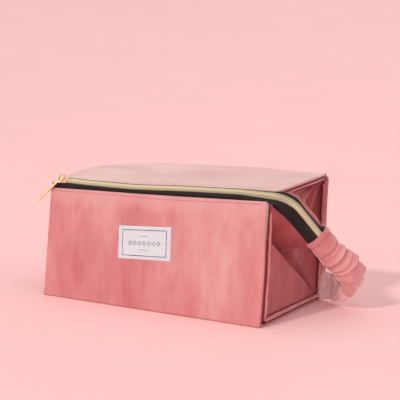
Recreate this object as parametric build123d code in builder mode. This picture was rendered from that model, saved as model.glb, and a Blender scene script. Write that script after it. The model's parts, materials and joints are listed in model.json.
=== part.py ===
from build123d import *
import math
import os

# A soft box bag of velvet over stiff boards, closed by a zip along its front top edge.
# Millimetres. X runs along the bag, -Y is its front and +Z is up.
# The origin is the centre of the bottom's outer face, on the surface that the bag stands on.

# The bag's outline, seen from its right end
length = 240
depth = 135
front_height = 107
front_lean = 14  # the front leans back by this much at its top
back_height = 124
back_lean = 7.5  # the back leans out by this much at its top
lid_front_y = -40.5
lid_front_z = 114.8

# What a wall is made of, from the outside in
velvet = 1.2
board = 1.8
lining = 0.8
hem = 1.4  # velvet turned in round the edges of a board
seam_gap = 0.35  # half of the gap between two walls that fold on each other
fit_gap = 0.15
past_lining = 1  # how far the board's pocket in the velvet is cut past the lining

# Gussets
gusset_cloth = 1.2
gusset_clear = 1.2
gusset_inset = 0.8  # of the outer leaf, from the bag's end
gusset_recess = 6.5  # of the folded-in leaf, from the bag's end
fold_height = 0.7  # of the front wall's height
heel_setback = 2.4  # of the fold's lower end, from the back
leaf_gap = 0.5  # between the two leaves' meeting edges

# Zip
chain_y = -47.3
chain_z = 112.7
chain_tilt = 30  # the chain faces up and to the front
tooth_reach = 3.0  # from the chain's centre line
tooth_gap = 0.6
tooth_thickness = 2.1
tape = 0.6
tape_flat = 5.2  # the tape lies flat this far from the centre line
slider_length = 15
slider_start = -117
chain_end_clear = 4  # between the slider and the start of the lid's half
lid_chain_short = 18  # the lid's half of the chain stops this far before the bag's end
stop_length = 2
tape_past_stop = 1
tape_bend = 1

# Strap: the zip's tail and the gathered sleeve, in the plane that holds the end's diagonal
tail_gap = 2.5  # between the bag's end and the start of the tail
tail_front = 9
tail_back = 8
tail_inside = 7.5
mouth_at = 52  # along the tail's straight run
zip_end_at = 74
sleeve_thickness = 12
sleeve_half_width = 12
sleeve_bore = 5
bore_half_width = 9.5
sleeve_round = 3.5
elastic_thickness = 1
elastic_half_width = 4
anchor_thickness = 1.8
anchor_height = 9
anchor_half_width = 8
anchor_inset = 1  # of the anchor in the sleeve's closed end
sewn_shut = 2  # length of the sleeve's closed end
elastic_past_stop = 1
floor_clear = 0.3

# Slider and pull
plate = 1.2
plate_lift = 1.4  # from the chain's middle plane to a plate
slider_nose = 9.6
slider_tail = 8
shoulder = 4  # from the slider's left end to its widest place
nose_slope = 1.5
plate_round = 0.8
flange_length = 10
flange_middle = 9.5  # from the slider's left end
web_length = 3
web_middle = 2.5
flange = 1.0
flange_gap = 0.65
bail_wire = 1.4
bail_height = 4.7  # above the pull's axis
bail_front = 1.9  # in front of the pull's plane
bail_back = 6.9
bail_foot = 5  # behind the pull's plane, where the wire enters the slider's front edge
bail_lean = 0.2
bail_sink = 1  # the wire's other foot, above the pull's axis
bail_round = 1.7
bail_x = 9.5  # from the slider's left end
pull_clear = 2.0  # from the front's outer face to the pull's middle plane
pull_height = 115.3
pull_length = 35
pull_thickness = 1.2
pull_width = 2.5
eye_radius = 3.4
eye_hole = 1.7
bar_start = 2  # the pull's bar starts this far from its axis
pull_droop = 41  # degrees below the horizontal

# Label
label_length = 58
label_height = 31
label_thickness = 0.6
label_x = -3
label_up = 62  # from the front's foot to the label's middle
label_skew = 2.5  # degrees
label_round = 0.6

os.makedirs("parts", exist_ok=True)

half_length = length / 2
wall = velvet + board + lining
skin_and_board = velvet + board

# Corners of the outline in the end plane: Y, then Z
front_foot = Vector(-depth / 2, 0)
front_top = Vector(-depth / 2 + front_lean, front_height)
back_foot = Vector(depth / 2, 0)
back_top = Vector(depth / 2 + back_lean, back_height)
lid_front = Vector(lid_front_y, lid_front_z)


def save(piece, name):
    piece.part.label = name
    export_step(piece.part, f"parts/{name}.step")


def turned_left(direction):
    return Vector(-direction.Y, direction.X)


def corner_angle(before, corner, after):
    return (before - corner).get_angle(after - corner)


def inner_corner(before, corner, after, inside):
    """The point inside a corner that is the same distance from both of its walls."""
    halfway = ((before - corner).normalized() + (after - corner).normalized()).normalized()
    half_angle = math.radians(corner_angle(before, corner, after) / 2)
    return corner + halfway * (inside / math.sin(half_angle))


foot_angle = corner_angle(front_top, front_foot, back_foot)
heel_angle = corner_angle(front_foot, back_foot, back_top)
crown_angle = corner_angle(back_foot, back_top, lid_front)
square = 180  # a wall's free edge is cut square

# Each wall's outer face: from, to, the angle between it and the wall before it and after it
walls = {
    "front": (front_top, front_foot, square, foot_angle),
    "bottom": (front_foot, back_foot, foot_angle, heel_angle),
    "back": (back_foot, back_top, heel_angle, crown_angle),
    "lid": (back_top, lid_front, crown_angle, square),
}


def layer(name, near, far, margin):
    """Section of one layer of a wall, between two depths under its outer face, mitred at its folds."""
    start, end, start_angle, end_angle = walls[name]
    along = (end - start).normalized()
    inward = turned_left(along)
    start_cut = 1 / math.tan(math.radians(start_angle / 2))
    end_cut = 1 / math.tan(math.radians(end_angle / 2))
    return [
        start + along * (near * start_cut + margin) + inward * near,
        end - along * (near * end_cut + margin) + inward * near,
        end - along * (far * end_cut + margin) + inward * far,
        start + along * (far * start_cut + margin) + inward * far,
    ]


def end_section(x):
    """Sketch plane across the bag: its local axes are Y and Z."""
    return Plane.YZ.offset(x)


# Walls: a velvet skin turned in round its board, and a lining over both


def velvet_skin(name):
    pocket_x = half_length - hem
    with BuildPart() as skin:
        with BuildSketch(end_section(-half_length)):
            Polygon(*layer(name, 0, wall, seam_gap), align=None)
        extrude(amount=length)
        with BuildSketch(end_section(-pocket_x)):
            Polygon(*layer(name, velvet, wall + past_lining, seam_gap + hem), align=None)
        extrude(amount=2 * pocket_x, mode=Mode.SUBTRACT)
    save(skin, f"{name}_velvet")


def inner_sheet(name, kind, near, far):
    sheet_x = half_length - hem - fit_gap
    with BuildPart() as sheet:
        with BuildSketch(end_section(-sheet_x)):
            Polygon(*layer(name, near, far, seam_gap + hem + fit_gap), align=None)
        extrude(amount=2 * sheet_x)
    save(sheet, f"{name}_{kind}")


for wall_name in walls:
    velvet_skin(wall_name)
    inner_sheet(wall_name, "board", velvet, skin_and_board)
    inner_sheet(wall_name, "lining", skin_and_board, wall)


# Gussets: two leaves of cloth at each end, which meet on the diagonal from the zip to the back foot

clear = wall + gusset_clear
gusset_foot = inner_corner(front_top, front_foot, back_foot, clear)
gusset_heel = inner_corner(front_foot, back_foot, back_top, clear)
gusset_crown = inner_corner(back_foot, back_top, lid_front, clear)
front_inward = turned_left((front_foot - front_top).normalized())
lid_inward = turned_left((lid_front - back_top).normalized())
gusset_top = front_top + front_inward * clear
gusset_brow = lid_front + lid_inward * clear
gusset_fold = gusset_foot + (gusset_top - gusset_foot) * fold_height
heel_tip = gusset_heel - Vector(heel_setback, 0)
diagonal = (heel_tip - gusset_fold).normalized()
diagonal_up = turned_left(diagonal)


def gusset(side, sign):
    outer_x = sign * (half_length - gusset_inset - gusset_cloth)
    inner_x = sign * (half_length - gusset_recess)
    with BuildPart() as lower:
        with BuildSketch(end_section(outer_x)):
            Polygon(gusset_foot, heel_tip, gusset_fold, align=None)
        extrude(amount=sign * gusset_cloth)
        with BuildSketch(end_section(inner_x)):
            Polygon(gusset_fold, heel_tip, gusset_top, align=None)
        extrude(amount=sign * gusset_cloth)
        with BuildSketch(end_section(inner_x)):
            web = diagonal_up * gusset_cloth
            Polygon(gusset_fold, heel_tip, heel_tip - web, gusset_fold - web, align=None)
        extrude(amount=outer_x - inner_x)
    save(lower, f"{side}_lower_gusset")
    lift = turned_left((heel_tip - gusset_top).normalized()) * leaf_gap
    with BuildPart() as upper:
        with BuildSketch(end_section(inner_x)):
            Polygon(gusset_top + lift, heel_tip + lift, gusset_crown, gusset_brow, align=None)
        extrude(amount=sign * gusset_cloth)
    save(upper, f"{side}_upper_gusset")


gusset("right", 1)
gusset("left", -1)


# Zip along the front top edge. Its section lies in the end plane.

tilt = math.radians(chain_tilt)
chain = Vector(chain_y, chain_z)
across = Vector(math.cos(tilt), math.sin(tilt))
outward = Vector(-math.sin(tilt), math.cos(tilt))
stop_x = slider_start - fit_gap * 2
front_chain_start = slider_start
lid_chain_start = slider_start + slider_length + chain_end_clear
lid_chain_end = half_length - lid_chain_short


def strip_of_teeth(name, near, far, x_start, x_end):
    half = outward * (tooth_thickness / 2)
    with BuildPart() as teeth:
        with BuildSketch(end_section(x_start)):
            inner = chain + across * near
            outer = chain + across * far
            Polygon(inner - half, outer - half, outer + half, inner + half, align=None)
        extrude(amount=x_end - x_start)
    save(teeth, name)


def strip_of_tape(name, section, x_start, x_end):
    with BuildPart() as strip:
        with BuildSketch(end_section(x_start)):
            with BuildLine():
                FilletPolyline(*section, radius=tape_bend)
            trace(line_width=tape)
        extrude(amount=x_end - x_start)
    save(strip, name)


tape_rim = tape / 2 + fit_gap
front_rim = front_top + front_inward * (wall / 2) + Vector(0, tape_rim)
lid_rim = lid_front + lid_inward * (wall / 2) - Vector(tape_rim, 0)
tape_start = tooth_reach + fit_gap / 2
front_tape = [chain - across * tape_start, chain - across * tape_flat, front_rim]
lid_tape = [chain + across * tape_start, chain + across * tape_flat, lid_rim]
tape_left = slider_start - stop_length - tape_past_stop
strip_of_teeth("front_zip_teeth", -tooth_reach, -tooth_gap, front_chain_start, half_length)
strip_of_teeth("lid_zip_teeth", tooth_gap, tooth_reach, lid_chain_start, lid_chain_end)
strip_of_tape("front_zip_tape", front_tape, tape_left, half_length)
strip_of_tape("lid_zip_tape", lid_tape, lid_chain_start, lid_chain_end)
strip_of_teeth("zip_top_stop", -tooth_reach, -tooth_gap, stop_x - stop_length, stop_x)


# Strap. Its plane holds X and the end's diagonal; local y runs down the diagonal.

strap_plane = Plane(origin=(0, chain_y, chain_z), x_dir=(1, 0, 0), z_dir=(0, 1, 1))
route = [
    Vector(half_length + tail_gap, 0.8),
    Vector(134.5, 4),
    Vector(157, 81),
    Vector(166, 106),
    Vector(157, 134),
    Vector(139, 147),
    Vector(123, 149),
]
tail_bend = 20
strap_bend = 25
tail_run = (route[2] - route[1]).normalized()
mouth = route[1] + tail_run * mouth_at
zip_end = route[1] + tail_run * zip_end_at
elastic_start = zip_end + tail_run * (stop_length + elastic_past_stop)
tail_path = [route[0], route[1], zip_end]
inner_path = [mouth, zip_end]
sleeve_path = [mouth, *route[2:]]
sleeve_bottom = route[-1] + Vector(sewn_shut, 0)
bore_path = [mouth - tail_run, *route[2:-1], sleeve_bottom]
elastic_path = [elastic_start, *route[2:-1], sleeve_bottom + Vector(fit_gap, 0)]


def band(path, bend, thickness, low, high, mode=Mode.ADD):
    """A ribbon that stands across the strap's plane, from low to high, along a path in that plane."""
    with BuildSketch(strap_plane.offset(low)) as ribbon:
        with BuildLine():
            if len(path) > 2:
                FilletPolyline(*path, radius=bend)
            else:
                Line(*path)
        trace(line_width=thickness)
    extrude(ribbon.sketch, amount=high - low, mode=mode)


def above_floor():
    split(bisect_by=Plane.XY.offset(floor_clear), keep=Keep.TOP)


with BuildPart() as tail_front_tape:
    band([route[0], route[1], mouth], tail_bend, tape, -tail_front, -tooth_reach - fit_gap)
    band(inner_path, tail_bend, tape, -tail_inside, -tooth_reach - fit_gap)
save(tail_front_tape, "tail_front_tape")

with BuildPart() as tail_back_tape:
    band([route[0], route[1], mouth], tail_bend, tape, tooth_reach + fit_gap, tail_back)
    band(inner_path, tail_bend, tape, tooth_reach + fit_gap, tail_inside)
save(tail_back_tape, "tail_back_tape")

with BuildPart() as tail_teeth:
    band(tail_path, tail_bend, tooth_thickness, -tooth_reach, tooth_reach)
save(tail_teeth, "tail_teeth")

with BuildPart() as zip_bottom_stop:
    stop_path = [zip_end + tail_run * fit_gap, zip_end + tail_run * (fit_gap + stop_length)]
    band(stop_path, 0, tooth_thickness, -tooth_reach, tooth_reach)
save(zip_bottom_stop, "zip_bottom_stop")

with BuildPart() as strap_sleeve:
    band(sleeve_path, strap_bend, sleeve_thickness, -sleeve_half_width, sleeve_half_width)
    rims = strap_sleeve.faces().filter_by(Axis((0, 0, 0), strap_plane.z_dir))
    long_edges = rims.edges().filter_by(lambda edge: abs(edge.length - sleeve_thickness) > 0.1)
    fillet(long_edges, sleeve_round)
    band(bore_path, strap_bend, sleeve_bore, -bore_half_width, bore_half_width, Mode.SUBTRACT)
    above_floor()
save(strap_sleeve, "strap_sleeve")

with BuildPart() as strap_elastic:
    band(elastic_path, strap_bend, elastic_thickness, -elastic_half_width, elastic_half_width)
save(strap_elastic, "strap_elastic")

with BuildPart() as strap_anchor:
    with BuildSketch(strap_plane.offset(-anchor_half_width)):
        with Locations(route[-1] - Vector(anchor_thickness / 2 + anchor_inset, 0)):
            Rectangle(anchor_thickness, anchor_height)
    extrude(amount=2 * anchor_half_width)
    above_floor()
save(strap_anchor, "strap_anchor")


# Slider: two plates round the chain, joined by a thin web, with a wire bail on the upper one

slider_plane = Plane(
    origin=(slider_start, chain_y, chain_z),
    x_dir=(1, 0, 0),
    z_dir=(0, outward.X, outward.Y),
)


def slider_plate(lift):
    with BuildSketch(slider_plane.offset(lift)) as outline:
        with BuildLine():
            Polyline(
                (nose_slope, slider_nose / 2 - nose_slope),
                (shoulder, slider_nose / 2),
                (slider_length, slider_tail / 2),
                (slider_length, -slider_tail / 2),
                (shoulder, -slider_nose / 2),
                (nose_slope, nose_slope - slider_nose / 2),
                (0, 0),
                close=True,
            )
        make_face()
        fillet(outline.vertices(), plate_round)
    extrude(outline.sketch, amount=plate)


with BuildPart() as slider_body:
    slider_plate(plate_lift)
    slider_plate(-plate_lift - plate)
    for side in (-1, 1):
        for low in (flange_gap, -plate_lift):
            with BuildSketch(slider_plane.offset(low)):
                with Locations((flange_middle, side * (slider_tail / 2 - flange / 2))):
                    Rectangle(flange_length, flange)
            extrude(amount=plate_lift - flange_gap)
    with BuildSketch(slider_plane.offset(-plate_lift)):
        with Locations((web_middle, 0)):
            Rectangle(web_length, tooth_gap)
    extrude(amount=2 * plate_lift)
save(slider_body, "slider_body")

# The pull's plane is parallel to the front. Local x is along the bag and local y is up the front.
front_normal = Vector(0, -front_inward.X, -front_inward.Y)
front_up = Vector(0, (front_top - front_foot).X, (front_top - front_foot).Y).normalized()
face_at_height = Vector(0, front_foot.X + front_lean * pull_height / front_height, pull_height)
bail_centre = slider_start + bail_x
pivot = face_at_height + front_normal * pull_clear + Vector(bail_centre, 0, 0)
pull_plane = Plane(origin=pivot, x_dir=(1, 0, 0), z_dir=front_normal)

# The bail's plane crosses the bag. Local x is out from the front and local y is up the front.
bail_plane = Plane(origin=pivot, x_dir=front_normal, z_dir=-Vector(1, 0, 0))

with BuildPart() as slider_bail:
    with BuildLine(bail_plane) as bail_path:
        FilletPolyline(
            (-bail_foot, 0),
            (bail_front, 0),
            (bail_front, bail_height),
            (-bail_back, bail_height),
            (-bail_back - bail_lean, bail_sink),
            radius=bail_round,
        )
    with BuildSketch(Plane(origin=bail_path.line @ 0, z_dir=bail_path.line % 0)):
        Circle(bail_wire / 2)
    sweep()
save(slider_bail, "slider_bail")

with BuildPart() as zip_pull:
    droop = 180 + pull_droop
    with BuildSketch(pull_plane.offset(-pull_thickness / 2)):
        Circle(eye_radius)
        with PolarLocations((bar_start + pull_length) / 2, 1, start_angle=droop):
            SlotOverall(pull_length - bar_start, pull_width)
        Circle(eye_hole, mode=Mode.SUBTRACT)
    extrude(amount=pull_thickness)
save(zip_pull, "zip_pull")

# Woven label on the front
label_centre = Vector(label_x, front_foot.X, front_foot.Y) + front_up * label_up
label_plane = Plane(origin=label_centre, x_dir=(1, 0, 0), z_dir=front_normal)
with BuildPart() as woven_label:
    with BuildSketch(label_plane):
        RectangleRounded(label_length, label_height, label_round, rotation=label_skew)
    extrude(amount=label_thickness)
save(woven_label, "woven_label")
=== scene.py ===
import json
import math

import bpy
import numpy as np
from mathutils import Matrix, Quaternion, Vector, noise


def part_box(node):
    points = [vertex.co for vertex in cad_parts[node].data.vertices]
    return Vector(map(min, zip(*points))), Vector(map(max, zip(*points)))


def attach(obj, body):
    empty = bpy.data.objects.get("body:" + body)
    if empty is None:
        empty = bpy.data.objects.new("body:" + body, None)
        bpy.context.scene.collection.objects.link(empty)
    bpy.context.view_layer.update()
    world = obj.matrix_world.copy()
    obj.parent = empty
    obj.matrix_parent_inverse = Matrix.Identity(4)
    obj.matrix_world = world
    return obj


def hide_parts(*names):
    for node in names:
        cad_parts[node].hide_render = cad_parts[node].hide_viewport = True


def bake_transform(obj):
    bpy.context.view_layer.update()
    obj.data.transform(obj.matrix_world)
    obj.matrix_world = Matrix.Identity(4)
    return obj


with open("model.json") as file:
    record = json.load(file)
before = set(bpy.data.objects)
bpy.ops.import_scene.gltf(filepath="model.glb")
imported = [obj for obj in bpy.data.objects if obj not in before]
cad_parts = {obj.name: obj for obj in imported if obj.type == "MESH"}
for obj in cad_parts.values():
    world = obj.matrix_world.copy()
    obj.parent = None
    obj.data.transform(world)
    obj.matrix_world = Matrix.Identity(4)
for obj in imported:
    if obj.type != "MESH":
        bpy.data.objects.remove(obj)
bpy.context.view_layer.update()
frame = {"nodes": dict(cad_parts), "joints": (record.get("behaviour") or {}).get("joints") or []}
joints = {joint["name"]: joint for joint in frame["joints"]}

# Lengths below are in millimetres, and become metres when a mesh is made.
MM = 0.001
half_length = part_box("front_velvet")[1].x / MM


def joint_place(name):
    """Y and Z of a hinge, in millimetres."""
    return np.array(joints[name]["pos_m"][1:]) / MM


# The bag's outline in the end plane: Y, then Z
front_foot = joint_place("front_fold")
back_foot = joint_place("back_fold")
back_top = joint_place("lid_fold")
front_top = front_foot + (14, 107)
lid_front = np.array((-40.5, 114.8))
chain = np.array((-47.3, 112.7))
wall_depth = 3.4
seam_gap = 0.15
lining_inset = 2.2


# Small tools


def smooth(low, high, x):
    t = np.clip((np.asarray(x, float) - low) / (high - low), 0, 1)
    return t * t * (3 - 2 * t)


def hump(centre, width, x):
    return np.exp(-(((np.asarray(x, float) - centre) / width) ** 2))


def wobble(x, y, size, seed):
    """Smooth noise, about -1 to 1, that changes over a distance of size."""
    return noise.noise(Vector((x / size, y / size, seed * 7.3)))


def unit(v):
    return np.asarray(v, float) / np.linalg.norm(v)


def spread(low, high, fine, coarse, border):
    """Positions from low to high, close together near both ends and further apart between them."""
    near = np.arange(low, low + border, fine)
    far = np.arange(high - border, high + fine / 2, fine)
    count = max(2, int(round((high - low - 2 * border) / coarse)))
    return np.concatenate([near, np.linspace(low + border, high - border, count + 1)[:-1], far])


def reach_along(points):
    """How far along a polyline each of its points lies."""
    return np.concatenate([[0], np.cumsum(np.linalg.norm(np.diff(points, axis=0), axis=1))])


def resample(points, at):
    """The places on a polyline at the distances at along it."""
    reach = reach_along(points)
    return np.stack([np.interp(at, reach, column) for column in np.asarray(points, float).T], axis=1)


def by_step(points, step):
    """Points spread evenly along a polyline, about a step apart."""
    length = reach_along(points)[-1]
    return resample(points, np.linspace(0, length, int(length / step) + 1))


def corner_ways(corner, before, after):
    """The ways from a corner to the points before and after it, the way between them, and half of its angle."""
    first, last = unit(before - corner), unit(after - corner)
    return first, last, unit(first + last), math.acos(np.clip(first @ last, -1, 1)) / 2


def fillet(corner, before, after, radius, steps, proud=0):
    """An arc that rounds a corner, and how far from the corner it starts and ends."""
    first, last, middle, half_angle = corner_ways(corner, before, after)
    centre = corner + middle * (radius / math.sin(half_angle))
    touch = radius / math.tan(half_angle)
    start = unit(corner + first * touch - centre)
    end = unit(corner + last * touch - centre)
    ways = [unit(start * (1 - k / steps) + end * (k / steps)) for k in range(steps + 1)]
    return [centre + way * (radius + proud) for way in ways], touch


def add_object(name, data):
    made = bpy.data.objects.new(name, data)
    bpy.context.scene.collection.objects.link(made)
    return made


def make_object(name, points, faces, *materials, face_material=None):
    mesh = bpy.data.meshes.new(name)
    mesh.from_pydata([tuple(np.asarray(p, float) * MM) for p in points], [], faces)
    for material in materials:
        mesh.materials.append(material)
    if face_material is not None:
        mesh.polygons.foreach_set("material_index", face_material)
    mesh.polygons.foreach_set("use_smooth", [True] * len(mesh.polygons))
    mesh.update()
    return add_object(name, mesh)


def carried(piece, body, slot, *replaced):
    """A piece that rides on a body, and the CAD nodes that it stands in for, which are hidden; its slot is not used.
    """
    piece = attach(piece, body)
    if replaced:
        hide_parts(*replaced)
    return piece


def flipped(faces):
    return [tuple(reversed(f)) for f in faces]


def grid_faces(rows, columns, first=0, closed=False):
    faces = []
    for i in range(rows - 1):
        for j in range(columns if closed else columns - 1):
            a = first + i * columns + j
            b = first + i * columns + (j + 1) % columns
            faces.append((a, b, b + columns, a + columns))
    return faces


def rim_of(rows, columns):
    """Row and column of each point on a grid's border, in order."""
    rim = [(0, i) for i in range(columns)]
    rim += [(j, columns - 1) for j in range(1, rows)]
    rim += [(rows - 1, i) for i in range(columns - 2, -1, -1)]
    return rim + [(j, 0) for j in range(rows - 2, 0, -1)]


def sheet_object(name, rows, thickness, outer, inner, third=None, kinds=None):
    """A cloth sheet through a grid of points, closed, with its inner face in another material."""
    rows = np.asarray(rows, float)
    count, columns = rows.shape[:2]
    along = np.gradient(rows, axis=0)
    across = np.gradient(rows, axis=1)
    normals = np.cross(along, across)
    lengths = np.linalg.norm(normals, axis=2, keepdims=True)
    normals = normals / np.maximum(lengths, 1e-9)
    back = rows - normals * thickness
    points = list(rows.reshape(-1, 3)) + list(back.reshape(-1, 3))
    total = count * columns
    front_faces = grid_faces(count, columns)
    back_faces = flipped(grid_faces(count, columns, total))
    rim = [j * columns + i for j, i in rim_of(count, columns)]
    sides = [(b, a, a + total, b + total) for a, b in zip(rim, rim[1:] + rim[:1])]
    faces = front_faces + back_faces + sides
    kinds = list(kinds or [0] * len(front_faces)) + [1] * len(back_faces) + [0] * len(sides)
    return make_object(name, points, faces, outer, inner, *([third] if third else []), face_material=kinds)


def tube_faces(rings, around):
    """The faces of a tube through rings of points, closed at both ends."""
    last = (rings - 1) * around
    caps = [tuple(reversed(range(around))), tuple(range(last, last + around))]
    return grid_faces(rings, around, closed=True) + caps


def tube_points(path, radius, around, first_up):
    """Rings of points round a path, and the faces between them. radius is a number or one for each point."""
    path = np.asarray(path, float)
    radii = np.broadcast_to(radius, len(path))
    tangents = np.gradient(path, axis=0)
    points = []
    for p, t, r in zip(path, tangents, radii):
        t = unit(t)
        side = unit(np.cross(t, first_up))
        up = np.cross(side, t)
        for k in range(around):
            angle = 2 * math.pi * k / around
            points.append(p + side * (r * math.cos(angle)) + up * (r * math.sin(angle)))
    return points, tube_faces(len(path), around)


def join(chunks):
    points, faces = [], []
    for chunk_points, chunk_faces in chunks:
        first = len(points)
        points.extend(chunk_points)
        faces.extend(tuple(first + i for i in f) for f in chunk_faces)
    return points, faces


def stitch_row(path, out, stitch=2.3, gap=0.8, radius=0.24):
    """A row of sewn stitches that lie on a surface along a path and dip at their ends."""
    chunks = []
    for k in range(int(reach_along(path)[-1] // (stitch + gap))):
        at = k * (stitch + gap) + gap / 2 + stitch * np.array((0, 0.15, 0.5, 0.85, 1))
        line = resample(path, at)
        line += np.outer((-0.35, 0.02, 0.1, 0.02, -0.35), out)
        chunks.append(tube_points(line, (0.14, radius, radius, radius, 0.14), 6, out))
    return join(chunks)


# Materials


class Nodes:
    """A material being built: adds nodes and links them by name."""

    def __init__(self, name):
        self.material = bpy.data.materials.new(name)
        self.material.use_nodes = True
        self.tree = self.material.node_tree
        self.shader = self.tree.nodes["Principled BSDF"]
        self.place = self.add("ShaderNodeTexCoord").outputs["Object"]

    def add(self, kind, **settings):
        node = self.tree.nodes.new(kind)
        for key, value in settings.items():
            if hasattr(node, key):
                setattr(node, key, value)
            else:
                node.inputs[key].default_value = value
        return node

    def link(self, out, into):
        self.tree.links.new(out, into)

    def feed(self, value, socket):
        """Links or sets a socket: value is another node's output, a colour or a number."""
        if isinstance(value, tuple):
            socket.default_value = (*value, 1)
        elif isinstance(value, (int, float)):
            socket.default_value = value
        else:
            self.link(value, socket)

    def scaled(self, scale):
        mapping = self.add("ShaderNodeMapping", Scale=scale)
        self.link(self.place, mapping.inputs["Vector"])
        return mapping.outputs["Vector"]

    def noise(self, scale, stretch=(1, 1, 1), detail=2.0, roughness=0.5):
        texture = self.add("ShaderNodeTexNoise", Scale=scale, Detail=detail, Roughness=roughness)
        self.link(self.scaled(stretch), texture.inputs["Vector"])
        return texture.outputs["Fac"]

    def wave(self, scale, direction):
        texture = self.add("ShaderNodeTexWave", Scale=scale, Distortion=0.4, bands_direction=direction)
        self.link(self.place, texture.inputs["Vector"])
        return texture.outputs["Fac"]

    def ramp(self, factor, *stops):
        ramp = self.add("ShaderNodeValToRGB")
        elements = ramp.color_ramp.elements
        for index, (position, colour) in enumerate(stops):
            element = elements[index] if index < 2 else elements.new(position)
            element.position = position
            element.color = (*colour, 1)
        self.link(factor, ramp.inputs["Fac"])
        return ramp.outputs["Color"]

    def maths(self, operation, a, b):
        node = self.add("ShaderNodeMath", operation=operation)
        self.feed(a, node.inputs[0])
        self.feed(b, node.inputs[1])
        return node.outputs[0]

    def mix(self, factor, a, b, blend="MIX"):
        node = self.add("ShaderNodeMix", data_type="RGBA", blend_type=blend)
        for value, index in ((factor, 0), (a, 6), (b, 7)):
            self.feed(value, node.inputs[index])
        return node.outputs[2]

    def bump(self, height, distance, strength=1.0, under=None):
        node = self.add("ShaderNodeBump", Strength=strength, Distance=distance)
        self.link(height, node.inputs["Height"])
        if under is not None:
            self.link(under, node.inputs["Normal"])
        return node.outputs["Normal"]

    def finish(self, colour=None, normal=None, roughness=None, **sockets):
        for key, value in (("Base Color", colour), ("Normal", normal), ("Roughness", roughness)):
            if value is not None:
                self.feed(value, self.shader.inputs[key])
        for key, value in sockets.items():
            self.shader.inputs[key.replace("_", " ")].default_value = value
        return self.material


def velvet(name, deep, middle, pale, patch=(1, 1, 0.45), sheen=0.4, painted_highlight_above=None):
    """Short-pile velvet: patches where the pile lies each way, a fine pile grain, a soft sheen and, where asked, a
    painted highlight that makes it paler above a height.
    """
    m = Nodes(f"{name}_velvet_cloth")
    patches = m.noise(17, patch, detail=4, roughness=0.62)
    colour = m.ramp(patches, (0.34, deep), (0.5, middle), (0.68, pale))
    streaks = m.noise(150, (1, 1, 0.16), detail=3)
    colour = m.mix(0.16, colour, m.ramp(streaks, (0.35, deep), (0.65, pale)))
    # Painted highlight: above this height the velvet is mixed towards its pale colour, as if light from above catches
    # the top of the wall.
    if painted_highlight_above is not None:
        split = m.add("ShaderNodeSeparateXYZ")
        m.link(m.place, split.inputs[0])
        height = m.maths("ADD", split.outputs["Z"], m.maths("MULTIPLY", patches, 0.02))
        edge = m.add("ShaderNodeMapRange", interpolation_type="SMOOTHSTEP")
        edge.inputs["From Min"].default_value = painted_highlight_above
        edge.inputs["From Max"].default_value = painted_highlight_above + 0.012
        edge.inputs["To Max"].default_value = 0.6
        m.link(height, edge.inputs["Value"])
        colour = m.mix(edge.outputs["Result"], colour, pale)
    pile = m.noise(2600, detail=1.5, roughness=0.7)
    colour = m.mix(0.2, colour, m.ramp(pile, (0.35, (0.35, 0.35, 0.35)), (0.65, (1, 1, 1))), "MULTIPLY")
    normal = m.bump(patches, 0.0016, 0.4)
    normal = m.bump(streaks, 0.0003, 0.4, normal)
    normal = m.bump(pile, 0.0002, 0.6, normal)
    return m.finish(
        colour, normal, 0.9,
        Sheen_Weight=sheen, Sheen_Roughness=0.4, Sheen_Tint=(1, 0.85, 0.83, 1),
        Specular_IOR_Level=0.12,
    )


pink_deep = (0.56, 0.165, 0.18)
pink = (0.64, 0.24, 0.245)
pink_pale = (0.73, 0.385, 0.375)
even = (1, 1, 1)
# The front, bottom and back share this velvet, painted paler near the top as a painted highlight.
front_velvet = velvet("front", pink_deep, pink, pink_pale, painted_highlight_above=0.098)
# The lid's velvet is the bag's pink painted paler: a painted highlight for the light falling on the lid from above.
lid_velvet = velvet("lid", (0.68, 0.385, 0.36), (0.76, 0.49, 0.455), (0.83, 0.59, 0.55), (0.5, 1, 1))
# The gusset velvets are the bag's pink painted darker: painted shade for the bag's ends, which face away from the key
# light.
shaded_gusset_velvet = velvet("gusset", (0.27, 0.045, 0.055), (0.36, 0.075, 0.082), (0.48, 0.13, 0.135), sheen=0.2)
# The upper gusset's velvet is also painted darker than the walls: painted shade.
shaded_upper_gusset_velvet = velvet("upper_gusset", (0.33, 0.06, 0.07), (0.43, 0.1, 0.106), (0.58, 0.21, 0.205), sheen=0.25)
# The lower gusset's flat leaf is painted paler than the rest of the gusset: a painted highlight where the leaf faces
# the light.
lit_leaf_velvet = velvet("leaf", (0.38, 0.085, 0.092), (0.46, 0.125, 0.13), (0.57, 0.22, 0.215), sheen=0.25)
strap_velvet = velvet("strap", (0.6, 0.2, 0.21), (0.69, 0.31, 0.31), (0.77, 0.43, 0.41), even, 1.0)
# The part of the strap that returns to the bag is painted much paler: a painted highlight, as if it were lit there.
lit_return_velvet = velvet("strap_return_lit", (0.8, 0.42, 0.42), (0.9, 0.6, 0.59), (0.96, 0.78, 0.76), even, 1.0)
seam_velvet = velvet("seam", (0.52, 0.16, 0.17), (0.63, 0.25, 0.25), (0.74, 0.38, 0.37), even)


def woven(name, colour, darker, pitch, sheen=0.2, roughness=0.75):
    """A plain weave: two sets of threads that cross, and a little unevenness."""
    m = Nodes(name)
    warp, weft, cross = (m.wave(pitch, axis) for axis in "XZY")
    threads = m.maths("MULTIPLY", warp, m.maths("MAXIMUM", weft, cross))
    uneven = m.noise(60, detail=2)
    shade = m.maths("ADD", m.maths("MULTIPLY", threads, 0.6), m.maths("MULTIPLY", uneven, 0.4))
    base = m.ramp(shade, (0.2, darker), (0.75, colour))
    return m.finish(
        base, m.bump(threads, 0.00015, 0.6), roughness,
        Sheen_Weight=sheen, Sheen_Roughness=0.4, Specular_IOR_Level=0.3,
    )


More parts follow.
